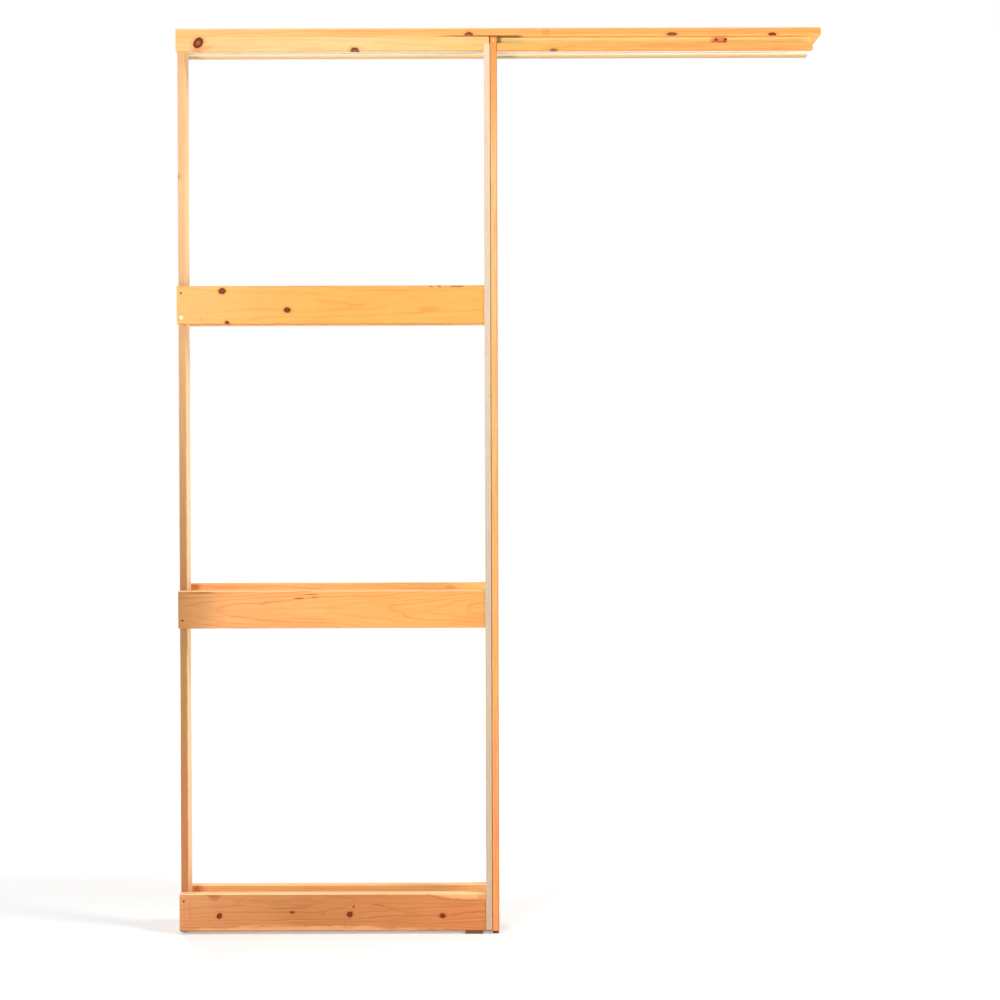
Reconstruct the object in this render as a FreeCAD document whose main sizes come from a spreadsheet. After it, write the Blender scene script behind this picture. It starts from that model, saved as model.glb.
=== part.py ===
# Pocket door frame of pine boards for one sliding leaf, standing on the floor.
# +X runs from the pocket to the doorway, +Y runs to the back and +Z up from the floor.
# The origin is on the floor, under the middle of the header board.
import FreeCAD, Part
import Sketcher
import os

doc = FreeCAD.newDocument("pocket_door_frame")

# Driving dimensions in millimetres
sizes = {
    "frame_height": 2134,  # floor to the top of the header board
    "pocket_length": 755,  # outer face of the back stud to the doorway face of the jamb
    "opening_width": 742,  # doorway face of the jamb to the end of the header core
    "strike_lap": 19,  # header board beyond the end of the header core
    "board_thickness": 19,
    "pocket_gap": 51,  # clear space between the front and the rear boards
    "rail_width": 89,
    "upper_rail_level": 1441,  # floor to the lower edge
    "lower_rail_level": 723,
    "rear_rail_lift": 10,  # rear lower rail above the front one
    "floor_gap": 7,  # bottom rails and jambs above the floor
    "board_ease": 2,
    "stud_thickness": 17,
    "jamb_width": 17,
    "jamb_ease": 3,
    "core_roof": 6,  # wood left above the groove of the header core
    "head_strip_height": 16.5,
    "rail_drop": 3,  # top rails and head strips below the header core
    "track_width": 32,
    "track_height": 24,
    "track_wall": 2,
    "track_slot": 12,
    "track_bead": 3,  # upstand along each side of the slot
    "track_clearance": 0.25,  # each side of the track in its groove
    "track_hole": 4.5,
    "track_hole_margin": 60,
    "track_hole_count": 6,
    "angle_leg": 14,
    "angle_thickness": 1.5,
    "angle_head_gap": 18,  # header board to the top of the angle
    "channel_width": 42,
    "channel_wall": 2,
    "channel_bend": 1.5,
    "channel_setback": 20,  # from the ends of the bottom rails
    "channel_hole": 5.2,
    "channel_hole_spacing": 24,
    "foot_inset": 1.5,
    "foot_chamfer": 1.5,
}
sheet = doc.addObject("Spreadsheet::Sheet", "sizes")
for row, (name, size) in enumerate(sizes.items(), 1):
    sheet.set(f"A{row}", name)
    sheet.set(f"B{row}", str(size))
    sheet.setAlias(f"B{row}", name)
doc.recompute()

# Levels and lines that several pieces share
frame_width = "(sizes.pocket_length + sizes.opening_width + sizes.strike_lap)"
left_end = f"(0 - {frame_width} / 2)"
stud_face = f"({left_end} + sizes.stud_thickness)"
jamb_face = f"({left_end} + sizes.pocket_length)"
jamb_back = f"({jamb_face} - sizes.jamb_width)"
rail_length = "(sizes.pocket_length - sizes.jamb_width - sizes.angle_thickness)"
core_length = "(sizes.pocket_length + sizes.opening_width - sizes.stud_thickness)"
core_height = "(sizes.track_height + sizes.core_roof)"
board_under = "(sizes.frame_height - sizes.board_thickness)"
core_under = f"({board_under} - {core_height})"
top_rail_under = f"({core_under} - sizes.rail_drop)"
frame_depth = "(sizes.pocket_gap + 2 * sizes.board_thickness)"
front_face = f"(0 - {frame_depth} / 2)"
front_core = "(0 - sizes.pocket_gap / 2)"
rear_core = "(sizes.pocket_gap / 2)"
sides = {"front": front_face, "rear": rear_core}


def make_body(label, at):
    body = doc.addObject("PartDesign::Body", label)
    body.Label = label
    for axis, place in zip("xyz", at):
        body.setExpression(f".Placement.Base.{axis}", place)
    return body


def make_sketch(body, plane):
    sketch = body.newObject("Sketcher::SketchObject", f"{body.Label}_sketch")
    planes = {feature.Role: feature for feature in body.Origin.OriginFeatures}
    sketch.AttachmentSupport = (planes[plane], [""])
    sketch.MapMode = "FlatFace"
    return sketch


def tie_point(sketch, geometry, point, place):
    # Each coordinate is a distance from the sketch origin, or lies on its axis
    axes = {"DistanceX": -2, "DistanceY": -1}
    for kind, expression in zip(axes, place):
        if expression == "0":
            sketch.addConstraint(Sketcher.Constraint("PointOnObject", geometry, point, axes[kind]))
            continue
        distance = sketch.evalExpression(expression)
        index = sketch.addConstraint(Sketcher.Constraint(kind, -1, 1, geometry, point, distance))
        sketch.setExpression(f"Constraints[{index}]", expression)


def draw_outline(body, plane, corners):
    sketch = make_sketch(body, plane)
    points = [FreeCAD.Vector(*map(sketch.evalExpression, corner)) for corner in corners]
    for start, end in zip(points, points[1:] + points[:1]):
        sketch.addGeometry(Part.LineSegment(start, end))
    for line in range(len(corners)):
        following = (line + 1) % len(corners)
        sketch.addConstraint(Sketcher.Constraint("Coincident", line, 2, following, 1))
    for line, corner in enumerate(corners):
        tie_point(sketch, line, 1, corner)
    return sketch


def draw_circles(body, plane, centres, diameter):
    sketch = make_sketch(body, plane)
    up = FreeCAD.Vector(0, 0, 1)
    for centre in centres:
        middle = FreeCAD.Vector(*map(sketch.evalExpression, centre))
        circle = sketch.addGeometry(Part.Circle(middle, up, sketch.evalExpression(diameter) / 2))
        tie_point(sketch, circle, 3, centre)
        index = sketch.addConstraint(Sketcher.Constraint("Diameter", circle, sketch.evalExpression(diameter)))
        sketch.setExpression(f"Constraints[{index}]", diameter)
    return sketch


def rectangle(wide, high):
    return [("0", "0"), (wide, "0"), (wide, high), ("0", high)]


def pad(body, sketch, length):
    feature = body.newObject("PartDesign::Pad", f"{body.Label}_pad")
    feature.Profile = sketch
    feature.setExpression("Length", length)
    doc.recompute()
    return feature


def cut(body, sketch, depth=None):
    # Cuts to a depth, or else right through
    before = body.Shape.Volume
    feature = body.newObject("PartDesign::Pocket", f"{body.Label}_cut")
    feature.Profile = sketch
    feature.Reversed = True
    if depth:
        feature.setExpression("Length", depth)
    else:
        feature.Type = "ThroughAll"
    doc.recompute()
    if body.Shape.Volume >= before:
        raise RuntimeError(f"{feature.Label} cuts nothing")
    return feature


def edges_along(shape, direction):
    names = []
    for number, edge in enumerate(shape.Edges, 1):
        if abs(edge.tangentAt(edge.FirstParameter).dot(direction)) > 0.999:
            names.append(f"Edge{number}")
    return names


def edges_at_height(shape, height):
    names = []
    for number, edge in enumerate(shape.Edges, 1):
        if all(abs(vertex.Z - height) < 0.001 for vertex in edge.Vertexes):
            names.append(f"Edge{number}")
    return names


def ease(body, base, names, radius):
    feature = body.newObject("PartDesign::Fillet", f"{body.Label}_ease")
    feature.Base = (base, names)
    feature.setExpression("Radius", radius)
    doc.recompute()


def lying_board(label, at, length, deep, high):
    # A board along X with its four long edges eased
    body = make_body(label, at)
    section = draw_outline(body, "YZ_Plane", rectangle(deep, high))
    board = pad(body, section, length)
    ease(body, board, edges_along(board.Shape, FreeCAD.Vector(1, 0, 0)), "sizes.board_ease")
    return body


def header_core():
    # A block ploughed from below, so that the track lies flush in it
    body = make_body("header_core", (stud_face, front_core, core_under))
    block = draw_outline(body, "YZ_Plane", rectangle("sizes.pocket_gap", core_height))
    pad(body, block, core_length)
    groove_width = "(sizes.track_width + 2 * sizes.track_clearance)"
    near = f"(sizes.pocket_gap - {groove_width}) / 2"
    far = f"(sizes.pocket_gap + {groove_width}) / 2"
    deep = "sizes.track_height"
    groove = [(near, "0"), (far, "0"), (far, deep), (near, deep)]
    cut(body, draw_outline(body, "YZ_Plane", groove))
    return body


def track():
    # An extruded box section, open below, with an upstand along each side of its slot
    body = make_body("track", (stud_face, "0 - sizes.track_width / 2", core_under))
    wall = "sizes.track_wall"
    wide = "sizes.track_width"
    high = "sizes.track_height"
    lip = f"(({wide} - sizes.track_slot) / 2)"
    bead = f"({wall} + sizes.track_bead)"
    half = [
        (lip, "0"),
        (lip, bead),
        (f"{lip} - {wall}", bead),
        (f"{lip} - {wall}", wall),
        (wall, wall),
        (wall, f"{high} - {wall}"),
    ]
    mirrored = [(f"{wide} - ({across})", up) for across, up in reversed(half)]
    outer = [(wide, "0"), (wide, high), ("0", high), ("0", "0")]
    pad(body, draw_outline(body, "YZ_Plane", half + mirrored + outer), core_length)
    first = ("sizes.track_hole_margin", f"{wide} / 2")
    drilled = cut(body, draw_circles(body, "XY_Plane", [first], "sizes.track_hole"))
    row_of_holes = body.newObject("PartDesign::LinearPattern", "track_holes")
    row_of_holes.Originals = [drilled]
    axes = {feature.Role: feature for feature in body.Origin.OriginFeatures}
    row_of_holes.Direction = (axes["X_Axis"], [""])
    row_of_holes.setExpression("Length", f"{core_length} - 2 * sizes.track_hole_margin")
    row_of_holes.setExpression("Occurrences", "sizes.track_hole_count")
    body.Tip = row_of_holes
    doc.recompute()
    return body


def back_stud():
    body = make_body("back_stud", (left_end, front_core, "0"))
    section = draw_outline(body, "XY_Plane", rectangle("sizes.stud_thickness", "sizes.pocket_gap"))
    post = pad(body, section, board_under)
    ease(body, post, edges_along(post.Shape, FreeCAD.Vector(0, 0, 1)), "sizes.board_ease")
    return body


def jamb_strip(side):
    # A slim post beside the pocket mouth, rounded along its length and over its top
    body = make_body(f"{side}_jamb_strip", (jamb_back, sides[side], "sizes.floor_gap"))
    section = draw_outline(body, "XY_Plane", rectangle("sizes.jamb_width", "sizes.board_thickness"))
    length = f"{board_under} - sizes.floor_gap"
    post = pad(body, section, length)
    rounded = edges_along(post.Shape, FreeCAD.Vector(0, 0, 1))
    rounded += edges_at_height(post.Shape, body.evalExpression(length))
    ease(body, post, rounded, "sizes.jamb_ease")
    return body


def jamb_angle(side):
    # One leg lies on the faces of the rails, the other closes the joint between rails and strip
    leg = "sizes.angle_leg"
    wall = "sizes.angle_thickness"
    deep = f"({wall} + sizes.board_thickness)"
    outside = {"front": f"({front_face} - {wall})", "rear": rear_core}
    profiles = {
        "front": [
            ("0", "0"),
            (leg, "0"),
            (leg, deep),
            (f"{leg} - {wall}", deep),
            (f"{leg} - {wall}", wall),
            ("0", wall),
        ],
        "rear": [
            (f"{leg} - {wall}", "0"),
            (leg, "0"),
            (leg, deep),
            ("0", deep),
            ("0", "sizes.board_thickness"),
            (f"{leg} - {wall}", "sizes.board_thickness"),
        ],
    }
    body = make_body(f"{side}_jamb_angle", (f"{jamb_back} - {leg}", outside[side], "sizes.floor_gap"))
    section = draw_outline(body, "XY_Plane", profiles[side])
    pad(body, section, f"{board_under} - sizes.angle_head_gap - sizes.floor_gap")
    return body


def jamb_foot(side):
    # A glide under each jamb strip, chamfered where it meets the floor
    at = (f"{jamb_back} + sizes.foot_inset", f"{sides[side]} + sizes.foot_inset", "0")
    body = make_body(f"{side}_jamb_foot", at)
    wide = "sizes.jamb_width - 2 * sizes.foot_inset"
    deep = "sizes.board_thickness - 2 * sizes.foot_inset"
    block = pad(body, draw_outline(body, "XY_Plane", rectangle(wide, deep)), "sizes.floor_gap")
    feature = body.newObject("PartDesign::Chamfer", f"{body.Label}_chamfer")
    feature.Base = (block, edges_at_height(block.Shape, 0))
    feature.setExpression("Size", "sizes.foot_chamfer")
    doc.recompute()
    return body


def floor_channel():
    # A pressed channel with closed ends, open below, that ties the bottom rails and is screwed down
    across = f"{left_end} + {rail_length} - sizes.channel_setback - sizes.channel_width"
    body = make_body("floor_channel", (across, front_face, "0"))
    wall = "sizes.channel_wall"
    wide = "sizes.channel_width"
    block = pad(body, draw_outline(body, "XY_Plane", rectangle(wide, frame_depth)), "sizes.floor_gap")
    bent = edges_along(block.Shape, FreeCAD.Vector(0, 0, 1))
    bent += edges_at_height(block.Shape, body.evalExpression("sizes.floor_gap"))
    ease(body, block, bent, "sizes.channel_bend")
    far = f"{wide} - {wall}"
    back = f"{frame_depth} - {wall}"
    hollow = [(wall, wall), (far, wall), (far, back), (wall, back)]
    cut(body, draw_outline(body, "XY_Plane", hollow), f"sizes.floor_gap - {wall}")
    screws = [(f"{wide} / 2", f"({frame_depth} {sign} sizes.channel_hole_spacing) / 2") for sign in "-+"]
    cut(body, draw_circles(body, "XY_Plane", screws, "sizes.channel_hole"))
    return body


boards = {
    "header_board": (left_end, front_face, board_under, frame_width, frame_depth, "sizes.board_thickness"),
}
rail_levels = {
    "front_upper_rail": "sizes.upper_rail_level",
    "front_lower_rail": "sizes.lower_rail_level",
    "front_bottom_rail": "sizes.floor_gap",
    "rear_upper_rail": "sizes.upper_rail_level",
    "rear_lower_rail": "sizes.lower_rail_level + sizes.rear_rail_lift",
    "rear_bottom_rail": "sizes.floor_gap",
}
thick = "sizes.board_thickness"
for label, level in rail_levels.items():
    near = sides[label.partition("_")[0]]
    boards[label] = (left_end, near, level, rail_length, thick, "sizes.rail_width")
top_rail_height = f"({board_under} - {top_rail_under})"
for side, near in sides.items():
    boards[f"{side}_top_rail"] = (left_end, near, top_rail_under, rail_length, thick, top_rail_height)
    boards[f"{side}_head_strip"] = (
        jamb_face,
        near,
        top_rail_under,
        "sizes.opening_width",
        thick,
        "sizes.head_strip_height",
    )

pieces = [header_core(), track(), back_stud(), floor_channel()]
for label, (x, y, z, length, deep, high) in boards.items():
    pieces.append(lying_board(label, (x, y, z), length, deep, high))
for side in sides:
    pieces += [jamb_strip(side), jamb_angle(side), jamb_foot(side)]
doc.recompute()

for item in doc.Objects:
    if "Invalid" in item.State or "Error" in item.State:
        raise RuntimeError(f"{item.Label} failed: {item.State}")
for piece in pieces:
    if piece.Shape.isNull() or not piece.Shape.isValid():
        raise RuntimeError(f"{piece.Label} has no valid shape")
os.makedirs("parts", exist_ok=True)
for piece in pieces:
    piece.Shape.exportStep(f"parts/{piece.Label}.step")
    print(piece.Label, round(piece.Shape.Volume / 1000, 1), "cm3", piece.Shape.BoundBox)
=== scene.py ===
import math
import bpy
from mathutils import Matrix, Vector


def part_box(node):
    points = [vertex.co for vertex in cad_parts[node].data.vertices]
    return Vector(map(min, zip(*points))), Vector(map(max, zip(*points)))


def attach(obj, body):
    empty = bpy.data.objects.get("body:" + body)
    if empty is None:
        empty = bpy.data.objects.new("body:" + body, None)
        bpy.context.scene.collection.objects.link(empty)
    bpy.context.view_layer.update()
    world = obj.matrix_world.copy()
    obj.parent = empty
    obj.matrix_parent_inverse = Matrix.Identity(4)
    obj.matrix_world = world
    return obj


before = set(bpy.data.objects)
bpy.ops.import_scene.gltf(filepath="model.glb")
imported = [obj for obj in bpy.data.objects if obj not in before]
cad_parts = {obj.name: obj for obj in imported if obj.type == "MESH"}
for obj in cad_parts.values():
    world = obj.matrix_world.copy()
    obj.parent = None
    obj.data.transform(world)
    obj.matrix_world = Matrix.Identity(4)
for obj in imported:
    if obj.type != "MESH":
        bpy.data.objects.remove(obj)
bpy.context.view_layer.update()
perMetre = 1000  # millimetres
print("frame loaded,", len(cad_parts), "nodes")


def tone(red, green, blue):  # screen values to a linear colour
    linear = []
    for value in (red, green, blue):
        part = value / 255
        linear.append(part / 12.92 if part <= 0.04045 else ((part + 0.055) / 1.055) ** 2.4)
    return (*linear, 1.0)


class Flow:  # a socket that takes part in sums
    def __init__(self, tree, socket=None):
        self.tree = tree
        self.socket = socket

    def node(self, kind, settings=None, inputs=None, output=0):
        made = self.tree.nodes.new(kind)
        for name, value in (settings or {}).items():
            if name == "stops":
                fillRamp(made.color_ramp, value)
            else:
                setattr(made, name, value)
        for key, value in (inputs or {}).items():
            if isinstance(value, Flow):
                self.tree.links.new(value.socket, made.inputs[key])
            else:
                made.inputs[key].default_value = value
        return Flow(self.tree, made.outputs[output] if made.outputs else None)

    def sums(self, operation, *values):
        return self.node("ShaderNodeMath", {"operation": operation}, dict(enumerate(values)))

    def __add__(self, other):
        return self.sums("ADD", self, other)

    def __sub__(self, other):
        return self.sums("SUBTRACT", self, other)

    def __rsub__(self, other):
        return self.sums("SUBTRACT", other, self)

    def __mul__(self, other):
        return self.sums("MULTIPLY", self, other)

    def __truediv__(self, other):
        return self.sums("DIVIDE", self, other)

    def __abs__(self):
        return self.sums("ABSOLUTE", self)

    __radd__ = __add__
    __rmul__ = __mul__

    def parts(self):  # the three coordinates of a vector
        split = self.node("ShaderNodeSeparateXYZ", {}, {0: self})
        return [Flow(self.tree, socket) for socket in split.socket.node.outputs]

    def step(self, low, high):  # smooth rise from low to high, or fall where low is the larger
        settings = {"interpolation_type": "SMOOTHSTEP"}
        return self.node("ShaderNodeMapRange", settings, {"Value": self, "From Min": low, "From Max": high})

    def noise(self, detail=2.0, rough=0.5, scale=1.0):
        inputs = {"Vector": self, "Scale": scale, "Detail": detail, "Roughness": rough}
        return self.node("ShaderNodeTexNoise", {}, inputs)

    def tint(self, below, above, blend="MIX"):  # this value mixes two colours
        settings = {"data_type": "RGBA", "blend_type": blend}
        return self.node("ShaderNodeMix", settings, {0: self, 6: below, 7: above}, 2)


def fillRamp(ramp, stops):
    while len(ramp.elements) < len(stops):
        ramp.elements.new(0.5)
    for element, (place, colour) in zip(ramp.elements, stops):
        element.position = place
        element.color = colour


def newMaterial(name):
    material = bpy.data.materials.new(name)
    material.use_nodes = True
    material.node_tree.nodes.clear()
    return material, Flow(material.node_tree)


def objectPlace(start):
    return start.node("ShaderNodeTexCoord", {}, {}, "Object")


def combined(start, x, y, z):
    return start.node("ShaderNodeCombineXYZ", {}, {0: x, 1: y, 2: z})


def weighted(total, patterns, weights):  # patterns added up, each by its weight
    for name, weight in weights.items():
        total = total + patterns[name] * weight
    return total


def surface(start, colour, patterns, finish):  # shader, bump and output that every finish ends in
    roughness = weighted(finish["roughness"], patterns, finish["rougher"])
    height = weighted(0.0, patterns, finish["relief"])
    strength, distance = finish["bump"]
    bump = {"Height": height, "Strength": strength, "Distance": distance}
    normal = start.node("ShaderNodeBump", {}, bump)
    inputs = {"Base Color": colour, "Roughness": roughness, "Normal": normal, **finish["fixed"]}
    shader = start.node("ShaderNodeBsdfPrincipled", {}, inputs)
    start.node("ShaderNodeOutputMaterial", {}, {"Surface": shader})


def dress(node, material):
    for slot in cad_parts[node].material_slots:
        slot.material = material


# camera, lamps and floor
studio = {
    "cameraPlace": (0.0018, -3.7, 1.1988),
    "cameraPitch": 0.518,  # degrees down
    "cameraRoll": 0.166,
    "lens": 55.9,
    "sensor": 36,
    "shiftUp": -0.06,
    "farthest": 100,
    "lamps": {  # place, power, size
        "keyLamp": ((-2.3, -3.9, 1.75), 112, 1.2),
        "fillLamp": ((3.1, -1.1, 3.7), 100, 1.2),
        "sideLamp": ((3.4, -1.6, 0.8), 60, 1.4),
        "backLamp": ((-2.6, 3.6, 2.4), 75, 1.8),
    },
    "aim": (0, 0, 1.1),
    "skyLow": 0.1,
    "skyTop": 0.75,
    "skyPower": 3.0,  # how much the light gathers overhead
    "floorSize": 30,
    "floorColour": (0.93, 0.92, 0.89, 1),
    "floorSeen": (0.8, 0.8, 0.8, 1),  # its colour to the camera, beside the glow
    "glowNear": 0.24,
    "glowFar": 0.7,
    "glowReach": (0.8, 6.5),  # distance from the frame where the glow starts to rise and is full
}


def makeCamera():
    camera = bpy.data.cameras.new("camera")
    camera.sensor_width = studio["sensor"]
    camera.lens = studio["lens"]
    camera.shift_y = studio["shiftUp"]
    camera.clip_end = studio["farthest"]
    holder = bpy.data.objects.new("camera", camera)
    holder.location = studio["cameraPlace"]
    pitch, roll = math.radians(studio["cameraPitch"]), math.radians(studio["cameraRoll"])
    holder.rotation_euler = (math.pi / 2 - pitch, roll, 0)
    bpy.context.collection.objects.link(holder)
    bpy.context.scene.camera = holder
    bpy.context.scene.view_settings.view_transform = "Standard"


def placeLamp(name, place, power, size):
    lamp = bpy.data.lights.new(name, "AREA")
    lamp.energy = power
    lamp.shape = "DISK"
    lamp.size = size
    holder = bpy.data.objects.new(name, lamp)
    away = [a - b for a, b in zip(place, studio["aim"])]
    flat = math.hypot(away[0], away[1])
    holder.location = place
    holder.rotation_euler = (math.atan2(flat, away[2]), 0, math.atan2(away[1], away[0]) + math.pi / 2)
    bpy.context.collection.objects.link(holder)


def seenRays(start):  # one for camera, mirror and see-through rays
    path = start.node("ShaderNodeLightPath").socket.node.outputs
    names = ("Is Camera Ray", "Is Glossy Ray", "Is Transmission Ray")
    camera, mirror, clear = (Flow(start.tree, path[name]) for name in names)
    return start.sums("MAXIMUM", start.sums("MAXIMUM", camera, mirror), clear)


def makeSky():  # white where it is seen, and a soft light from above
    world = bpy.data.worlds.new("studioWorld")
    world.use_nodes = True
    world.node_tree.nodes.clear()
    start = Flow(world.node_tree)
    rise = start.node("ShaderNodeTexCoord", {}, {}, "Generated").parts()[2]
    gathered = start.sums("POWER", start.sums("MAXIMUM", rise, 0.0), studio["skyPower"])
    overhead = studio["skyLow"] + gathered * studio["skyTop"]
    shown = seenRays(start)
    strength = shown + (1 - shown) * overhead
    sky = start.node("ShaderNodeBackground", {}, {"Color": (1, 1, 1, 1), "Strength": strength})
    start.node("ShaderNodeOutputWorld", {}, {"Surface": sky})
    bpy.context.scene.world = world


def makeFloor():  # white far off, and dimmer near the frame, where its shadow falls
    half = studio["floorSize"] / 2
    corners = [(-half, -half, 0), (half, -half, 0), (half, half, 0), (-half, half, 0)]
    mesh = bpy.data.meshes.new("floor")
    mesh.from_pydata(corners, [], [(0, 1, 2, 3)])
    floor = bpy.data.objects.new("floor", mesh)
    bpy.context.collection.objects.link(floor)
    material, start = newMaterial("paleFloor")
    shown = seenRays(start)
    x, y = objectPlace(start).parts()[:2]
    away = start.sums("SQRT", x * x + y * y).step(*studio["glowReach"])
    strength = studio["glowNear"] + away * (studio["glowFar"] - studio["glowNear"])
    colour = shown.tint(studio["floorColour"], studio["floorSeen"])
    matt = start.node("ShaderNodeBsdfDiffuse", {}, {"Color": colour})
    glow = start.node("ShaderNodeEmission", {}, {"Strength": shown * strength})
    both = start.node("ShaderNodeAddShader", {}, {0: matt, 1: glow})
    start.node("ShaderNodeOutputMaterial", {}, {"Surface": both})
    mesh.materials.append(material)


makeCamera()
for name, (place, power, size) in studio["lamps"].items():
    placeLamp(name, place, power, size)
makeSky()
makeFloor()
print("studio ready")

# pine: places in millimetres, axes in the order along, through and across the board
# knots: along, across, long radius, short radius, turn in degrees, strength,
# then place and reach through the board where a knot is on one face only
# stains, painted shadows and a painted highlight: along, across, half length, half width, turn, strength,
# colour
# edges, among them painted shade and painted highlights: direction, level, reach, strength, colour,
# then spans along the board, each from where the tint starts to where it is full
pineFinish = {
    "ringTint": tone(222, 172, 120),
    "knotRim": tone(106, 42, 4),
    "knotHeart": tone(166, 84, 50),
    "knotHalo": tone(240, 196, 150),
    "endTint": tone(224, 188, 146),
    "fibreTint": tone(214, 186, 150),
    "cloudTint": tone(246, 222, 190),
    "wornTint": tone(250, 214, 160),
    "roughness": 0.62,
    "rougher": {"fibre": 0.12, "late": -0.1, "knot": -0.12, "end": 0.15},  # added to the roughness
    "relief": {"fibre": 0.6, "late": 0.5, "streak": 0.3, "knot": 0.4},  # heights in the bump
    "bump": (0.35, 0.0005),  # strength, distance
    "fixed": {"Specular IOR Level": 0.2},  # the same all over
    "knotPull": 0.6,  # how far the rings bend round a knot
    "largeKnot": 14,  # smaller knots are darker in the middle
    "rimInner": 0.75,
    "rimSoft": 0.5,
    "edgeRagged": 2,
    "edgeFull": 0.5,  # share of the reach in which the tint is full
    "least": {"ring": 0.25, "steep": 0.3},  # of the late wood's strength
    "shares": {
        "streak": 0.4, "fibre": 0.22, "cloud": 0.25, "halo": 0.55,
        "end": 0.8, "endRings": 0.7, "worn": 0.35,
    },
    "ranges": {  # where each pattern sets in, and where it is full
        "flow": (3.2, 0.4),
        "steep": (0.04, 0.3),
        "late": (0.62, 0.95),
        "ringEnd": (1.0, 0.96),
        "stainAndPaintedLight": (1.0, 0.45),
        "halo": (2.4, 0.9),
        "heart": (1.02, 0.82),
        "rim": (1.22, 0.98),
        "streak": (0.45, 0.75),
        "fibre": (0.35, 0.75),
        "cloud": (0.35, 0.7),
        "end": (0.6, 0.95),
        "endRings": (0.45, 0.95),
        "arris": (2.4, 0.5),
        "wear": (0.4, 0.65),
    },
    "reaches": {"wobble": 16, "waver": 14, "ripple": 2.2, "ragged": 0.5},  # how far they move rings and rims
    "stretch": 1731.0,  # each board has its own stretch of the pattern
    "noises": {  # length and width of the features, detail, roughness
        "wobble": (240, 60, 2.0, 0.5),
        "waver": (190, 45, 2.0, 0.5),
        "ripple": (38, 10, 2.0, 0.5),
        "ragged": (5, 3, 2.0, 0.5),
        "fibre": (70, 1.3, 3.0, 0.6),
        "streak": (260, 5, 3.0, 0.55),
        "cloud": (150, 40, 2.0, 0.5),
        "wear": (30, 8, 2.0, 0.5),
    },
}
darkMark = tone(150, 92, 44)
pitchMark = tone(148, 90, 40)
redMark = tone(214, 112, 70)
paleMark = tone(250, 190, 122)
sapMark = tone(232, 176, 118)
brownMark = tone(196, 138, 84)
# painted highlight along the top arrises, where the overhead light falls
arrisHighlight = tone(255, 214, 160)
# painted shade in the joints under the header and above the jamb
jointShade = tone(146, 96, 44)
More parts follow.
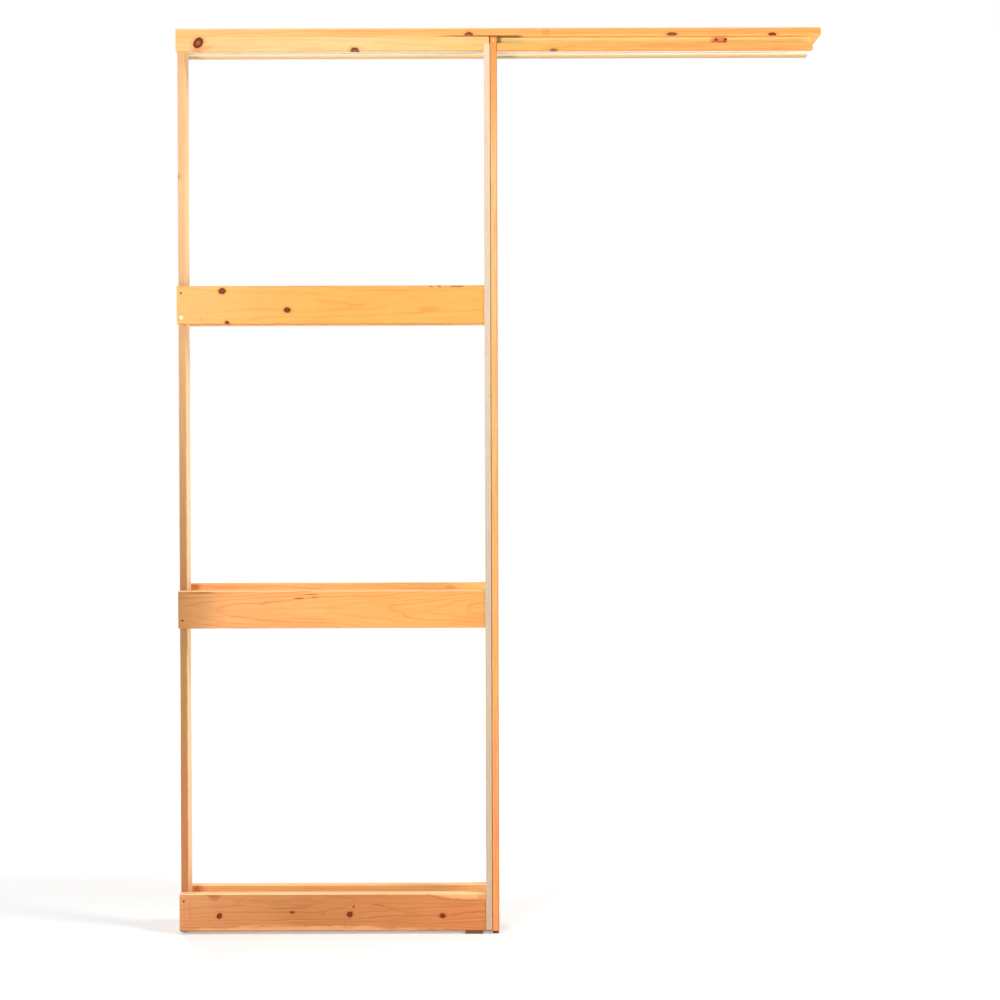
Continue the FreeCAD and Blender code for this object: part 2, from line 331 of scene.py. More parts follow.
boards = {
    "header_board": {
        "axes": "XZY", "seed": 1, "ring": 5.5, "pith": (62, 9), "drift": 0.012, "contrast": 0.55,
        "tones": [(0.0, tone(249, 197, 130)), (0.5, tone(250, 178, 102)), (1.0, tone(246, 160, 88))],
        "knots": [(-69, -45, 10, 5, 0, 0.75, 2115, 9),
                  (408, -45, 11, 5, 0, 0.95, 2118, 3.6), (644, -45, 9, 5, 0, 0.95, 2117, 4),
                  (-560, 12, 10, 8, 20, 1), (-215, 21, 8, 6, 0, 1),
                  (150, 14, 12, 9, -15, 1), (330, -14, 7, 6, 0, 1), (585, 18, 9, 7, 30, 1)],
        "stainsAndPaintedLight": [(-520, -44, 160, 10, 0, 0.3, paleMark), (112, -45, 12, 6, 0, 0.3, redMark)],
        "edges": [("through", 2115, 2.6, 0.7, tone(255, 206, 130)),
                  ("through", 2134, 3.5, 0.5, tone(255, 226, 168)),
                  # the last tint is painted shade along the joint under the header, growing towards the jamb
                  ("through", 2115, 2.4, 0.85, jointShade, (-190, -70), (66, 44))],
    },
    "header_core": {
        "axes": "XZY", "seed": 2, "ring": 4.5, "pith": (-48, 6), "drift": 0.01, "contrast": 0.4,
        # very pale tones, painted light on the recessed front band
        "tones": [(0.0, tone(255, 244, 170)), (0.75, tone(255, 244, 164)), (1.0, tone(255, 232, 152))],
        "knots": [(508, -26, 3.5, 4, 0, 0.9, 2101, 3), (515, -26, 3, 4, 0, 0.8, 2109, 3),
                  (522, -26, 4, 4, 0, 0.9, 2101, 3), (533, -26, 4, 4, 0, 0.9, 2102, 3.5),
                  (537, -26, 3, 4, 0, 0.8, 2110, 3)],
        "stainsAndPaintedLight": [(522, -25, 22, 12, 0, 0.65, redMark)],
    },
    "back_stud": {
        "axes": "ZXY", "seed": 3, "ring": 4.0, "pith": (38, 12), "drift": 0.009, "contrast": 0.5,
        # pale tones, painted light on the inner face
        "tones": [(0.0, tone(252, 206, 162)), (0.25, tone(254, 220, 178)), (0.7, tone(253, 216, 170)),
                  (1.0, tone(252, 210, 158))],
        "knots": [(1180, 6, 9, 7, 10, 1, -758, 7), (420, -12, 8, 6, 0, 1, -758, 7),
                  (1790, -20, 6, 5, 0, 0.8, -758, 6)],
        "stainsAndPaintedLight": [(1570, -23, 45, 3, 0, 0.4, redMark), (95, 0, 60, 36, 0, 0.5, tone(252, 172, 104))],
        # the front face is tinted darker, painted shade beside the pale inner face, and darker still towards
        # the bottom
        "edges": [("across", -25.5, 2.5, 0.92, tone(228, 181, 130)),
                  ("across", -25.5, 2.5, 0.95, tone(167, 121, 72), (1800, 800)),
                  ("across", -25.5, 2.5, 0.3, redMark, (520, 250))],
    },
    "front_top_rail": {
        "axes": "XYZ", "seed": 4, "ring": 6.0, "pith": (44, -22), "drift": 0.008, "contrast": 0.3,
        "tones": [(0.0, tone(254, 201, 138)), (0.6, tone(254, 204, 142)), (1.0, tone(252, 195, 121))],
        "knots": [(-704.5, 2100.5, 13, 9.8, 55, 1), (-337, 2082, 9, 6, 0, 0.95)],
        "stainsAndPaintedLight": [(-693, 2087, 46, 6, 14, 0.3, redMark)],
        # painted shade along the joint under the header, near the jamb
        "edges": [("across", 2115, 2.8, 0.8, jointShade, (-190, -70))],
    },
    "rear_top_rail": {
        "axes": "XYZ", "seed": 5, "ring": 5.0, "pith": (-44, 16), "drift": 0.01, "contrast": 0.4,
        "tones": [(0.0, tone(252, 196, 124)), (1.0, tone(253, 204, 134))],
        "knots": [(-480, 2096, 8, 6, 15, 1), (-180, 2106, 6, 5, 0, 1)],
        # a painted shadow of the stud on the left end; the lower edge is tinted darker as painted shade
        # under the rail
        "stainsAndPaintedLight": [(-728, 2083, 32, 6, 0, 0.75, tone(96, 64, 30))],
        "edges": [("across", 2082, 5, 0.7, tone(222, 190, 152))],
    },
    "front_upper_rail": {
        "axes": "XYZ", "seed": 6, "ring": 6.5, "pith": (52, 8), "drift": 0.016, "contrast": 0.35,
        "tones": [(0.0, tone(254, 186, 114)), (0.45, tone(254, 173, 89)), (1.0, tone(252, 174, 88))],
        "knots": [(-651, 1518, 8, 6.5, 12, 1), (-640, 1443, 5, 5, 0, 1), (-498, 1473, 7.5, 6, 0, 1)],
        "stainsAndPaintedLight": [(-160, 1527.6, 7, 2.8, 0, 0.85, darkMark), (-140, 1527.6, 5, 2.8, 0, 0.85, darkMark),
                   (-98, 1527.6, 24, 2.8, 0, 0.8, darkMark), (-168, 1474, 34, 9, 0, 0.35, redMark),
                   (-200, 1466, 44, 4, 0, 0.25, redMark), (-335, 1484, 32, 5.5, 4, 0.35, redMark),
                   (-385, 1492, 62, 4.5, -6, 0.22, redMark), (-703, 1456, 1.6, 15, 4, 0.6, brownMark),
                   (-747, 1456, 6, 7, 0, 0.9, tone(250, 234, 202))],
        "edges": [("across", 1441, 2.6, 0.5, tone(204, 146, 88)),
                  ("across", 1530, 2.0, 0.4, tone(218, 152, 84))],
    },
    "rear_upper_rail": {
        "axes": "XYZ", "seed": 7, "ring": 5.0, "pith": (-58, -12), "drift": 0.018, "contrast": 0.45,
        "tones": [(0.0, tone(252, 190, 112)), (1.0, tone(252, 198, 122))],
        "knots": [(-600, 1470, 9, 7, 0, 1), (-300, 1510, 7, 6, 20, 1), (-120, 1456, 6, 5, 0, 1)],
        "stainsAndPaintedLight": [],
    },
    "front_lower_rail": {
        "axes": "XYZ", "seed": 8, "ring": 4.6, "pith": (44, -3), "drift": -0.035, "contrast": 0.6,
        "tones": [(0.0, tone(174, 127, 78)), (0.16, tone(236, 167, 106)), (0.6, tone(248, 173, 100)),
                  (1.0, tone(243, 167, 92))],
        "knots": [],
        "stainsAndPaintedLight": [(-463, 810, 27, 2.0, 0, 0.8, pitchMark), (-449, 803, 22, 2.0, 0, 0.75, pitchMark),
                   (-472, 794, 14, 2.2, 0, 0.85, pitchMark), (-438, 796, 10, 1.8, 0, 0.75, pitchMark),
                   (-706, 807.2, 42, 2.8, 0, 0.75, pitchMark), (-735, 760, 70, 60, 0, 0.4, brownMark)],
        # the top arris carries a painted highlight
        "edges": [("across", 812, 2.6, 0.75, arrisHighlight)],
    },
    "rear_lower_rail": {
        "axes": "XYZ", "seed": 9, "ring": 5.5, "pith": (-46, 20), "drift": 0.014, "contrast": 0.45,
        "tones": [(0.0, tone(246, 172, 104)), (0.35, tone(254, 196, 118)), (1.0, tone(253, 200, 116))],
        "knots": [(-560, 770, 9, 7, 0, 1), (-215, 752, 7, 6, 0, 1)],
        "stainsAndPaintedLight": [(-118, 812, 20, 6, 0, 0.35, redMark)],
    },
    "front_bottom_rail": {
        "axes": "XYZ", "seed": 10, "ring": 4.8, "pith": (46, 24), "drift": 0.012, "contrast": 0.65,
        "tones": [(0.0, tone(214, 149, 98)), (0.4, tone(195, 130, 77)), (1.0, tone(212, 137, 82))],
        "knots": [(-664, 44, 6.5, 5.5, 60, 1), (-492, 52, 5, 2.5, 0, 0.9), (-356, 47, 6.5, 6, 40, 1),
                  (-347, 65, 3, 2, 30, 0.7), (-137, 43, 6, 5, 0, 1)],
        "stainsAndPaintedLight": [(-676, 93, 18, 15, 0, 0.6, tone(174, 84, 50)), (-290, 69, 22, 2, -8, 0.65, darkMark),
                   (-253, 59, 28, 3.5, -18, 0.25, darkMark), (-206, 48, 30, 3.5, -8, 0.2, darkMark),
                   (-145, 85.5, 30, 2.4, -13, 0.4, darkMark), (-76, 79.5, 46, 1.6, -2, 0.45, darkMark),
                   (-505, 61, 55, 3, 0, 0.35, darkMark), (-80, 43, 48, 2.5, 0, 0.5, redMark),
                   (-418, 47, 8, 4, 0, 0.35, darkMark), (-460, 8, 340, 16, 0, 0.75, sapMark),
                   (-90, 92, 80, 11, -3, 0.75, paleMark), (-752, 8, 9, 4.5, 0, 0.8, tone(112, 100, 84)),
                   (-747, 52, 1.4, 46, 0, 0.5, tone(176, 138, 88)), (-733, 58, 8, 30, 0, 0.3, redMark)],
        # a painted highlight on the top arris, and a painted contact shadow along the bottom edge
        "edges": [("across", 96, 3.0, 0.9, arrisHighlight), ("across", 7, 3.4, 0.75, tone(140, 88, 50))],
    },
    "rear_bottom_rail": {
        "axes": "XYZ", "seed": 11, "ring": 5.0, "pith": (-42, -14), "drift": 0.016, "contrast": 0.5,
        "tones": [(0.0, tone(248, 182, 112)), (1.0, tone(250, 185, 114))],
        "knots": [(-640, 40, 8, 6, 0, 1), (-410, 62, 7, 6, 0, 1), (-230, 30, 9, 7, 25, 1)],
        "stainsAndPaintedLight": [(-722, 88, 18, 12, 0, 0.35, redMark)],
        # the top arris carries a painted highlight
        "edges": [("across", 96, 2.4, 0.8, arrisHighlight)],
    },
    "front_head_strip": {
        "axes": "XYZ", "seed": 12, "ring": 5.0, "pith": (38, 10), "drift": 0.01, "contrast": 0.45,
        "tones": [(0.0, tone(250, 178, 96)), (1.0, tone(248, 162, 87))],
        "knots": [],
        "stainsAndPaintedLight": [(420, 2090, 120, 6, 0, 0.3, redMark), (130, 2083, 13, 3, 0, 0.85, tone(112, 72, 36))],
    },
    "rear_head_strip": {
        "axes": "XYZ", "seed": 13, "ring": 5.0, "pith": (-38, 8), "drift": 0.012, "contrast": 0.45,
        "tones": [(0.0, tone(252, 190, 110)), (1.0, tone(251, 182, 102))],
        "knots": [(260, 2092, 5, 4, 0, 1), (560, 2090, 6, 4, 0, 0.9)],
        # a painted shadow of the jamb on the left end; the lower edge is tinted darker as painted shade
        # under the strip
        "stainsAndPaintedLight": [(14, 2083, 42, 6, 0, 0.8, tone(96, 64, 30))],
        "edges": [("across", 2082, 5, 0.75, tone(196, 180, 156))],
    },
    "front_jamb_strip": {
        "axes": "ZYX", "seed": 14, "ring": 4.0, "pith": (30, 14), "drift": 0.006, "contrast": 0.4,
        "tones": [(0.0, tone(238, 158, 94)), (0.4, tone(245, 172, 100)), (0.85, tone(248, 190, 130)),
                  (1.0, tone(246, 150, 76))],
        "knots": [],
        # near the top, a painted highlight on the rounded end and painted shade under the header
        "stainsAndPaintedLight": [(300, -11, 260, 4, 0, 0.3, redMark), (2105, -11, 6, 4.5, 0, 0.5, tone(248, 212, 146)),
                   (2114, -11.5, 4, 12, 0, 0.7, jointShade)],
        # the right edge is darker as painted shade, and the left edge as a painted shadow in the gap beside
        # the angle
        "edges": [("across", -3, 3.2, 0.75, tone(168, 120, 72)),
                  ("across", -20, 2.6, 0.7, tone(160, 100, 56))],
    },
    "rear_jamb_strip": {
        "axes": "ZYX", "seed": 15, "ring": 4.0, "pith": (-30, 10), "drift": 0.007, "contrast": 0.4,
        "tones": [(0.0, tone(246, 170, 102)), (1.0, tone(252, 196, 120))],
        "knots": [(900, -12, 5, 4, 0, 1)],
        "stainsAndPaintedLight": [],
    },
}


def boardSpace(start, node, board):  # the three axes in millimetres, and the board's box along them
    place = objectPlace(start).parts()
    order = ["XYZ".index(axis) for axis in board["axes"]]
    low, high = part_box(node)
    axes = [place[index] * perMetre for index in order]
    lows = [low[index] * perMetre for index in order]
    highs = [high[index] * perMetre for index in order]
    return axes, lows, highs


def boardNoises(start, board, axes):
    along, through, across = axes
    moved = along + board["seed"] * pineFinish["stretch"]
    noises = {}
    for name, (length, width, detail, rough) in pineFinish["noises"].items():
        cell = combined(start, moved / length, through / width, across / width)
        noises[name] = cell.noise(detail, rough)
    return noises


def ovalDistance(axes, spot, ragged):  # one on the rim of a turned oval
    along, through, across = axes
    centre, level, long, short, turn = spot[:5]
    cosine, sine = math.cos(math.radians(turn)), math.sin(math.radians(turn))
    aside, above = along - centre, across - level
    p = (aside * cosine + above * sine) / long
    q = (above * cosine - aside * sine) / short
    squared = p * p + q * q
    if len(spot) == 8:  # a knot on one face only
        deep = (through - spot[6]) / spot[7]
        squared = squared + deep * deep
    return squared.sums("SQRT", squared) + ragged


def growthRings(start, board, axes, middles, noises, knots):  # place within a ring, and its late wood
    along, through, across = axes
    ranges, reaches, least = pineFinish["ranges"], pineFinish["reaches"], pineFinish["least"]
    bent = across  # rings flow round the knots
    for spot, distance in knots:
        pull = pineFinish["knotPull"] * spot[5]
        bent = bent - (across - spot[1]) * distance.step(*ranges["flow"]) * pull
    wobble = (noises["wobble"] - 0.5) * reaches["wobble"]
    waver = (noises["waver"] - 0.5) * reaches["waver"]
    ripple = (noises["ripple"] - 0.5) * reaches["ripple"]
    pithThrough, pithAcross = board["pith"]
    fromPith = through - (middles[1] + pithThrough) + wobble
    beside = bent - (middles[2] + pithAcross) + waver
    radius = start.sums("SQRT", fromPith * fromPith + beside * beside)
    rings = (radius + (along - middles[0]) * board["drift"] + ripple) / board["ring"]
    part = start.sums("FRACT", rings)
    number = start.sums("FLOOR", rings)
    ringTone = start.node("ShaderNodeTexWhiteNoise", {"noise_dimensions": "1D"}, {"W": number})
    steep = (abs(beside) / radius).step(*ranges["steep"])  # rings fade where they lie along the face
    band = part.step(*ranges["late"]) * part.step(*ranges["ringEnd"])
    byRing = least["ring"] + ringTone * (1 - least["ring"])
    bySlope = least["steep"] + steep * (1 - least["steep"])
    return part, band * byRing * bySlope


def addMarks(board, axes, ragged, ripple, colour):  # stains, painted shadows and a painted highlight, then tints along the edges, among them painted shade and highlights
    along, through, across = axes
    for spot in board["stainsAndPaintedLight"]:
        soft = ovalDistance(axes, spot, ragged + ripple).step(*pineFinish["ranges"]["stainAndPaintedLight"])
        colour = (soft * spot[5]).tint(colour, spot[6])
    for direction, level, reach, strength, stainAndPaintedLight, *spans in board.get("edges", []):
        measured = across if direction == "across" else through
        away = abs(measured - level) + ragged * pineFinish["edgeRagged"]
        near = away.step(reach, reach * pineFinish["edgeFull"]) * strength
        for span in spans:
            near = near * along.step(*span)
        colour = near.tint(colour, stainAndPaintedLight)
    return colour


def addKnots(knots, colour):  # halo, heart and dark rim of each knot
    ranges = pineFinish["ranges"]
    solid = 0.0
    for spot, distance in knots:
        strength = spot[5]
        halo = distance.step(*ranges["halo"]) * (pineFinish["shares"]["halo"] * strength)
        colour = halo.tint(colour, pineFinish["knotHalo"], "MULTIPLY")
        heart = distance.step(*ranges["heart"]) * strength
        colour = heart.tint(colour, pineFinish["knotHeart"])
        inner = pineFinish["rimInner"] * min(spot[2] / pineFinish["largeKnot"], 1)
        rim = distance.step(inner - pineFinish["rimSoft"], inner) * distance.step(*ranges["rim"]) * strength
        colour = rim.tint(colour, pineFinish["knotRim"])
        solid = solid + heart
    return colour, solid


def pine(node, board):
    material, start = newMaterial("pine_" + node)
    axes, lows, highs = boardSpace(start, node, board)
    along, through, across = axes
    middles = [(a + b) / 2 for a, b in zip(lows, highs)]
    halves = [(b - a) / 2 for a, b in zip(lows, highs)]
    noises = boardNoises(start, board, axes)
    fibre, streak = noises["fibre"], noises["streak"]
    ragged = (noises["ragged"] - 0.5) * pineFinish["reaches"]["ragged"]
    knots = [(spot, ovalDistance(axes, spot, ragged)) for spot in board["knots"]]
    part, late = growthRings(start, board, axes, middles, noises, knots)

    ranges, shares, ringTint = pineFinish["ranges"], pineFinish["shares"], pineFinish["ringTint"]
    spread = (along - lows[0]) / (highs[0] - lows[0])
    colour = start.node("ShaderNodeValToRGB", {"stops": board["tones"]}, {0: spread})
    colour = (late * board["contrast"]).tint(colour, ringTint, "MULTIPLY")
    streaked = streak.step(*ranges["streak"]) * shares["streak"] * board["contrast"]
    colour = streaked.tint(colour, ringTint, "MULTIPLY")
    colour = addMarks(board, axes, ragged, noises["ripple"] - 0.5, colour)
    fibred = fibre.step(*ranges["fibre"]) * shares["fibre"]
    colour = fibred.tint(colour, pineFinish["fibreTint"], "MULTIPLY")
    clouded = noises["cloud"].step(*ranges["cloud"]) * shares["cloud"]
    colour = clouded.tint(colour, pineFinish["cloudTint"], "MULTIPLY")
    colour, solid = addKnots(knots, colour)

    normal = start.node("ShaderNodeNewGeometry", {}, {}, "Normal").parts()
    endGrain = abs(normal["XYZ".index(board["axes"][0])]).step(*ranges["end"])
    colour = (endGrain * shares["end"]).tint(colour, pineFinish["endTint"], "MULTIPLY")
    endRings = endGrain * part.step(*ranges["endRings"]) * shares["endRings"]
    colour = endRings.tint(colour, ringTint, "MULTIPLY")
    toFace = halves[1] - abs(through - middles[1])
    toEdge = halves[2] - abs(across - middles[2])
    worn = (toFace + toEdge).step(*ranges["arris"]) * noises["wear"].step(*ranges["wear"])
    colour = (worn * shares["worn"]).tint(colour, pineFinish["wornTint"])
    patterns = {"fibre": fibre, "late": late, "streak": streak, "knot": solid, "end": endGrain}
    surface(start, colour, patterns, pineFinish)
    dress(node, material)


for node, board in boards.items():
    pine(node, board)
print("pine on", len(boards), "boards")

# zinc-coated angles beside the jambs, sizes in millimetres
angleFinish = {
    # darker at the foot and lighter at the top, a painted reflection
    "tones": [(0.0, tone(206, 180, 154)), (0.45, tone(195, 180, 160)), (0.8, tone(209, 190, 166)),
              (1.0, tone(230, 205, 178))],
    "ribTint": tone(232, 222, 212),
    "footTint": tone(150, 120, 100),
    "spangleTint": tone(212, 206, 198),
    "scuffTint": tone(196, 176, 156),
    "shares": {"rib": 0.3, "spangle": 0.3, "scuff": 0.35},
    "foot": 7,
    "footFade": (3.5, 0.8),
    "height": 2100,
    "rib": 5.6,
    "ribRound": (-0.8, 0.8),
    "spangle": 9,
    "scuffScale": (900, 900, 18),
    "scuffRange": (0.5, 0.75),
    "roughness": 0.42,
    "rougher": {"spangle": 0.14, "scuff": 0.1},
    "relief": {"scuff": 1.0, "spangle": 0.4, "rib": 1.0},
    "bump": (0.2, 0.0002),
    "fixed": {"Metallic": 0.55},
}


def drawnOut(start, axes, scales):  # noise that is longer along the axes with the smaller scale
    x, y, z = (axis * scale for axis, scale in zip(axes, scales))
    return combined(start, x, y, z).noise(3.0, 0.6)


def zincAngle():
    material, start = newMaterial("zincAngle")
    place = objectPlace(start)
    x, y, z = place.parts()
    shares = angleFinish["shares"]
    enlarged = {0: place, "Scale": perMetre / angleFinish["spangle"]}
    flakes = start.node("ShaderNodeVectorMath", {"operation": "SCALE"}, enlarged)
    spangle = start.node("ShaderNodeTexVoronoi", {}, {"Vector": flakes}, "Color").parts()[0]
    scuff = drawnOut(start, (x, y, z), angleFinish["scuffScale"])
    wave = start.sums("SINE", (x + y) * (math.tau * perMetre / angleFinish["rib"]))
    rib = wave.step(*angleFinish["ribRound"])
    foot = (z * perMetre - angleFinish["foot"]).step(*angleFinish["footFade"])
    # the colour rises with height, a painted reflection
    spread = z * (perMetre / angleFinish["height"])
    colour = start.node("ShaderNodeValToRGB", {"stops": angleFinish["tones"]}, {0: spread})
    colour = (rib * shares["rib"]).tint(colour, angleFinish["ribTint"], "MULTIPLY")
    colour = foot.tint(colour, angleFinish["footTint"], "MULTIPLY")
    colour = (spangle * shares["spangle"]).tint(colour, angleFinish["spangleTint"], "MULTIPLY")
    scuffed = scuff.step(*angleFinish["scuffRange"]) * shares["scuff"]
    colour = scuffed.tint(colour, angleFinish["scuffTint"], "MULTIPLY")
    surface(start, colour, {"scuff": scuff, "spangle": spangle, "rib": rib}, angleFinish)
    dress("front_jamb_angle", material)
    dress("rear_jamb_angle", material)


# extruded track, with draw lines along it
trackFinish = {
    "colour": tone(252, 244, 222),
    "line": tone(238, 226, 202),
    "smudge": tone(196, 184, 166),
    "lineScale": (3, 1400, 1400),
    "lineRange": (0.4, 0.75),
    "smudgeScale": (30, 90, 90),
    "smudgeRange": (0.5, 0.8),
    "smudgeShare": 0.2,
    "roughness": 0.42,
    "rougher": {"lines": 0.16, "smudge": 0.12},
    "relief": {"lines": 1.0},
    "bump": (0.2, 0.0002),
    "fixed": {"Metallic": 0.2},
}


def drawnTrack():
    material, start = newMaterial("drawnTrack")
    axes = objectPlace(start).parts()
    lines = drawnOut(start, axes, trackFinish["lineScale"])
    smudge = drawnOut(start, axes, trackFinish["smudgeScale"])
    colour = lines.step(*trackFinish["lineRange"]).tint(trackFinish["colour"], trackFinish["line"])
    smudged = smudge.step(*trackFinish["smudgeRange"]) * trackFinish["smudgeShare"]
    colour = smudged.tint(colour, trackFinish["smudge"], "MULTIPLY")
    surface(start, colour, {"lines": lines, "smudge": smudge}, trackFinish)
    dress("track", material)


# dark painted channel on the floor, rubbed along its folds
channelFinish = {
    "paint": tone(94, 64, 35),
    "rubbed": tone(140, 112, 82),
    "dust": tone(132, 98, 62),
    "dustScale": 160,
    "dustRange": (0.45, 0.8),
    "dustShare": 0.45,
    "chipScale": 700,
    "chipRange": (0.62, 0.75),
    "foldReach": 0.002,
    "foldRise": (0.004, 0.007),
    "wearRange": (0.42, 0.6),
    "rubbedRange": (0.2, 0.7),
    "roughness": 0.5,
    "rougher": {"dust": 0.25},
    "relief": {"dust": 1.0, "chips": 0.5},
    "bump": (0.3, 0.0003),
    "fixed": {"Specular IOR Level": 0.4},
}


def paintedChannel():
    material, start = newMaterial("paintedChannel")
    place = objectPlace(start)
    x, z = place.parts()[::2]
    low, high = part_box("floor_channel")
    middle, half = (low[0] + high[0]) / 2, (high[0] - low[0]) / 2
    dust = place.noise(4.0, 0.6, channelFinish["dustScale"])
    chips = place.noise(3.0, 0.7, channelFinish["chipScale"])
    nearFold = abs(x - middle).step(half - channelFinish["foldReach"], half)
    fold = nearFold * z.step(*channelFinish["foldRise"])
    worn = (fold + chips.step(*channelFinish["chipRange"])) * chips.step(*channelFinish["wearRange"])
    dusty = dust.step(*channelFinish["dustRange"]) * channelFinish["dustShare"]
    colour = dusty.tint(channelFinish["paint"], channelFinish["dust"])
    colour = worn.step(*channelFinish["rubbedRange"]).tint(colour, channelFinish["rubbed"])
    surface(start, colour, {"dust": dust, "chips": chips}, channelFinish)
    dress("floor_channel", material)


# moulded glides under the jambs
footFinish = {
    "colour": tone(96, 42, 22),
    "scuffed": tone(150, 96, 72),
    "grain": tone(150, 130, 120),
    "grainScale": 2400,
    "grainShare": 0.25,
    "scuffScale": 260,
    "scuffRange": (0.5, 0.75),
    "scuffLevels": (0.004, 0.0),
    "scuffShare": 0.8,
    "roughness": 0.55,
    "rougher": {"grain": 0.2},
    "relief": {"grain": 1.0},
    "bump": (0.3, 0.0002),
    "fixed": {"Specular IOR Level": 0.4},
}


def mouldedFoot():
    material, start = newMaterial("mouldedFoot")
    place = objectPlace(start)
    z = place.parts()[2]
    grain = place.noise(3.0, 0.6, footFinish["grainScale"])
    scuff = place.noise(3.0, 0.6, footFinish["scuffScale"]).step(*footFinish["scuffRange"])
    rubbed = scuff * z.step(*footFinish["scuffLevels"]) * footFinish["scuffShare"]
    colour = rubbed.tint(footFinish["colour"], footFinish["scuffed"])
    colour = (grain * footFinish["grainShare"]).tint(colour, footFinish["grain"], "MULTIPLY")
    surface(start, colour, {"grain": grain}, footFinish)
    dress("front_jamb_foot", material)
    dress("rear_jamb_foot", material)


zincAngle()
drawnTrack()
paintedChannel()
mouldedFoot()
print("metal and plastic ready")


# fasteners: a tree makes one head on every point, turned to the way it faces
def growHeads(name, tree, points, sizes):
    mesh = bpy.data.meshes.new(name)
    mesh.from_pydata([place for place, facing, shine in points], [], [])
    mesh.attributes.new("facing", "FLOAT_VECTOR", "POINT")
    mesh.attributes.new("shine", "FLOAT", "POINT")
    for index, (place, facing, shine) in enumerate(points):
        mesh.attributes["facing"].data[index].vector = facing
        mesh.attributes["shine"].data[index].value = shine
    piece = bpy.data.objects.new(name, mesh)
    bpy.context.collection.objects.link(piece)
    modifier = piece.modifiers.new("heads", "NODES")
    modifier.node_group = tree
    for item in tree.interface.items_tree:
        if item.item_type == "SOCKET" and item.in_out == "INPUT" and item.name in sizes:
            modifier[item.identifier] = sizes[item.name]
    depsgraph = bpy.context.evaluated_depsgraph_get()
    made = bpy.data.meshes.new_from_object(piece.evaluated_get(depsgraph), depsgraph=depsgraph)
    piece.modifiers.clear()
    piece.data = made
    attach(piece, "root")


def headTree(name, sizeNames, shape, material, seed):
    tree = bpy.data.node_groups.new(name, "GeometryNodeTree")
    tree.interface.new_socket(name="Geometry", in_out="INPUT", socket_type="NodeSocketGeometry")
    for sizeName in sizeNames:
        tree.interface.new_socket(name=sizeName, in_out="INPUT", socket_type="NodeSocketFloat")
    tree.interface.new_socket(name="Geometry", in_out="OUTPUT", socket_type="NodeSocketGeometry")
    entry = Flow(tree).node("NodeGroupInput")
    given = {socket.name: Flow(tree, socket) for socket in entry.socket.node.outputs if socket.name}
    head = shape(entry, given)
    vector = {"data_type": "FLOAT_VECTOR"}
    facing = entry.node("GeometryNodeInputNamedAttribute", vector, {"Name": "facing"})
    upright = entry.node("FunctionNodeAlignRotationToVector", {"axis": "Z"}, {"Vector": facing})
    anyTurn = {2: 0.0, 3: math.tau, "Seed": seed}
    spin = entry.node("FunctionNodeRandomValue", {"data_type": "FLOAT"}, anyTurn, 1)
    spun = entry.node("FunctionNodeEulerToRotation", {}, {0: combined(entry, 0.0, 0.0, spin)})
    turned = entry.node("FunctionNodeRotateRotation", {"rotation_space": "LOCAL"}, {0: upright, 1: spun})
    spread = {"Points": given["Geometry"], "Instance": head, "Rotation": turned}
    heads = entry.node("GeometryNodeInstanceOnPoints", {}, spread)
    real = entry.node("GeometryNodeRealizeInstances", {}, {0: heads})
    finished = entry.node("GeometryNodeSetMaterial", {}, {"Geometry": real, "Material": material})
    entry.node("NodeGroupOutput", {}, {0: finished})
    return tree


def lifted(entry, shape, level):
    lift = combined(entry, 0.0, 0.0, level)
    return entry.node("GeometryNodeTransform", {}, {"Geometry": shape, "Translation": lift})


def frustum(entry, level, lower, upper, height, sides):  # a tapered disc standing at this level
    sizes = {"Vertices": sides, "Radius Top": upper, "Radius Bottom": lower, "Depth": height}
    return lifted(entry, entry.node("GeometryNodeMeshCone", {}, sizes), level)


def crownedHead(entry, given, form):  # a rim and a crown, in shares of the head's height and radius
    radius, height = given["Head Radius"], given["Head Height"]
    shoulder, edge = height * form["rimShare"], radius * form["rimTop"]
    rim = frustum(entry, -form["sunk"], radius, edge, shoulder + form["sunk"], form["sides"])
    crownHeight = height * (1 - form["rimShare"])
    crown = frustum(entry, shoulder, edge, radius * form["crownTop"], crownHeight, form["sides"])
    join = entry.node("GeometryNodeJoinGeometry")
    for shape in (rim, crown):
        entry.tree.links.new(shape.socket, join.socket.node.inputs[0])
    return join


# steel of the heads, from dark to bright by each point's shine
steelFinish = {
    "speck": tone(120, 84, 60),
    "speckScale": 1500,
    "speckRange": (0.5, 0.8),
    "speckShare": 0.5,
    "roughness": 0.55,
    "rougher": {"shine": -0.25, "specks": 0.15},
    "relief": {"specks": 1.0},
    "bump": (0.25, 0.0001),
    "fixed": {"Metallic": 0.6},
}


def steelHead(name, dark, bright):
    material, start = newMaterial(name)
    shine = start.node("ShaderNodeAttribute", {"attribute_name": "shine"}, {}, "Fac")
    specks = objectPlace(start).noise(3.0, 0.6, steelFinish["speckScale"])
    speckled = specks.step(*steelFinish["speckRange"]) * steelFinish["speckShare"]
    colour = speckled.tint(shine.tint(dark, bright), steelFinish["speck"], "MULTIPLY")
    surface(start, colour, {"shine": shine, "specks": specks}, steelFinish)
    return material


# nails through the ends of the rails, into the stud
nails = {
    "left": -0.748,
    "front": [(1.5136, 0.0), (1.457, 1.0), (0.742, 0.0), (0.0787, 0.05), (0.0125, 0.45)],  # level, shine
    "rear": [(1.512, 0.3), (1.459, 0.2), (0.804, 0.3), (0.751, 0.4), (0.078, 0.2), (0.025, 0.3)],
    "faceDepth": 0.0445,
    "sizes": {"Head Radius": 0.0027, "Head Height": 0.0007},
    "sides": 20,
    "sunk": 0.0004,
    "rimShare": 0.55,  # of the height
    "rimTop": 0.96,  # of the radius
    "crownTop": 0.6,
    "dark": tone(84, 54, 34),
    "bright": tone(228, 214, 188),
    "seed": 5,
}


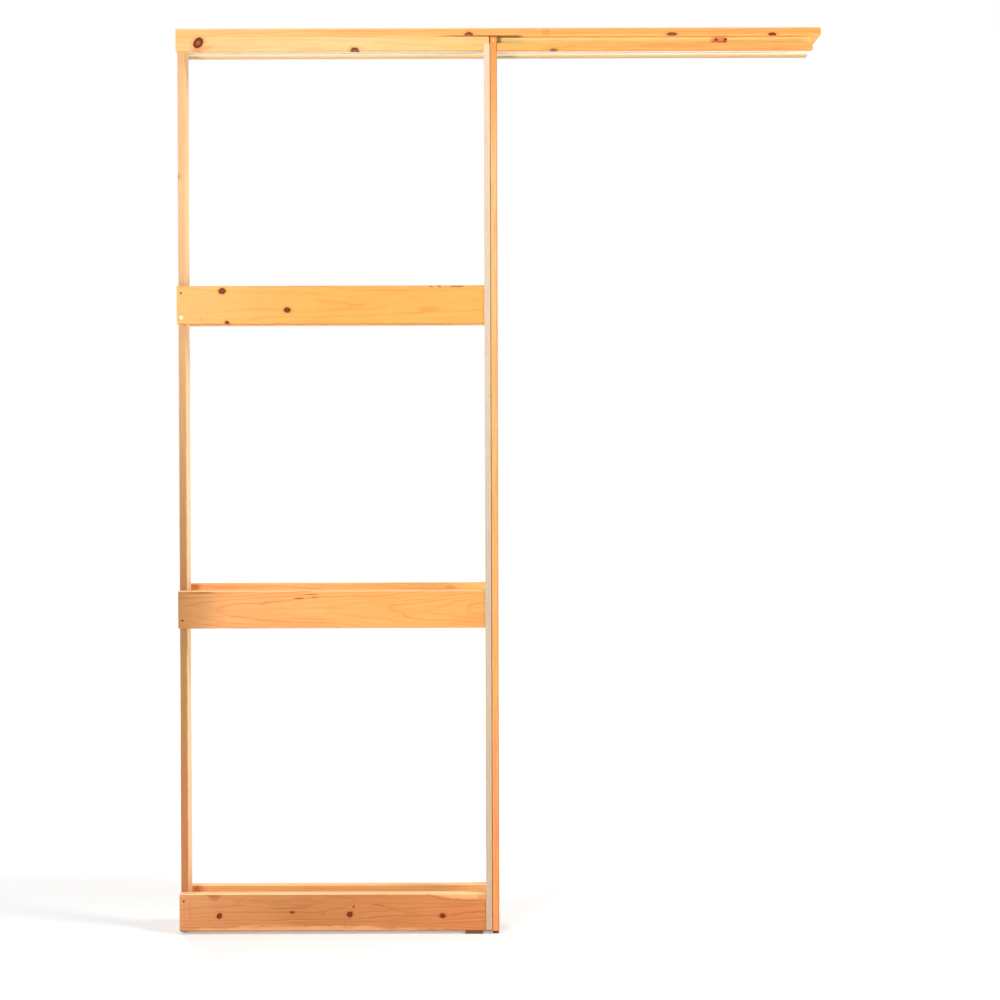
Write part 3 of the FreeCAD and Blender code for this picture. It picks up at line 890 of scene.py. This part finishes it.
def nailHead(entry, given):  # a flat head with a crowned top
    return crownedHead(entry, given, nails)


def railNails():
    material = steelHead("nailSteel", nails["dark"], nails["bright"])
    tree = headTree("nailHeads", list(nails["sizes"]), nailHead, material, nails["seed"])
    points = []
    for side, name in ((-1, "front"), (1, "rear")):
        for level, shine in nails[name]:
            points.append(((nails["left"], side * nails["faceDepth"], level), (0, side, 0), shine))
    growHeads("rail_nails", tree, points, nails["sizes"])


# screws through the angles and up through the track
screws = {
    "angleFace": -0.0215,
    "angleDepth": 0.0355,
    "angleLevels": [0.26, 0.56, 0.96, 1.28, 1.68, 1.96],
    "angleShines": [0.4, 0.5, 0.6, 0.7, 0.4, 0.5],
    "angleSizes": {"Head Radius": 0.0034, "Head Height": 0.0017},
    "trackWeb": 2.107,
    "trackEnds": (-0.681, 0.679),
    "trackCount": 6,
    "trackShine": 0.6,
    "trackSizes": {"Head Radius": 0.0040, "Head Height": 0.0005},
    "sides": 24,
    "sunk": 0.0003,
    "rimShare": 0.5,  # of the height
    "rimTop": 0.94,  # of the radius
    "crownTop": 0.62,
    "crossArms": [(1.1, 0.24), (0.24, 1.1)],
    "crossDepth": 0.9,
    "dark": tone(150, 140, 128),
    "bright": tone(236, 230, 218),
    "seed": 9,
}


def screwHead(entry, given):  # a low round head with a cross recess
    radius, height = given["Head Radius"], given["Head Height"]
    whole = {"Mesh 1": crownedHead(entry, given, screws)}
    cut = entry.node("GeometryNodeMeshBoolean", {"operation": "DIFFERENCE"}, whole)
    for wide, deep in screws["crossArms"]:
        size = combined(entry, radius * wide, radius * deep, height * screws["crossDepth"])
        arm = lifted(entry, entry.node("GeometryNodeMeshCube", {}, {"Size": size}), height)
        entry.tree.links.new(arm.socket, cut.socket.node.inputs["Mesh 2"])
    return cut


def allScrews():
    material = steelHead("screwSteel", screws["dark"], screws["bright"])
    tree = headTree("crossScrews", list(screws["angleSizes"]), screwHead, material, screws["seed"])
    points = []
    for level, shine in zip(screws["angleLevels"], screws["angleShines"]):
        for side in (-1, 1):
            place = (screws["angleFace"], side * screws["angleDepth"], level)
            points.append((place, (-1, 0, 0), shine))
    growHeads("angle_screws", tree, points, screws["angleSizes"])
    first, last = screws["trackEnds"]
    gap = (last - first) / (screws["trackCount"] - 1)
    points = []
    for index in range(screws["trackCount"]):
        place = (first + gap * index, 0, screws["trackWeb"])
        points.append((place, (0, 0, -1), screws["trackShine"]))
    growHeads("track_screws", tree, points, screws["trackSizes"])


railNails()
allScrews()
print("nails and screws set")
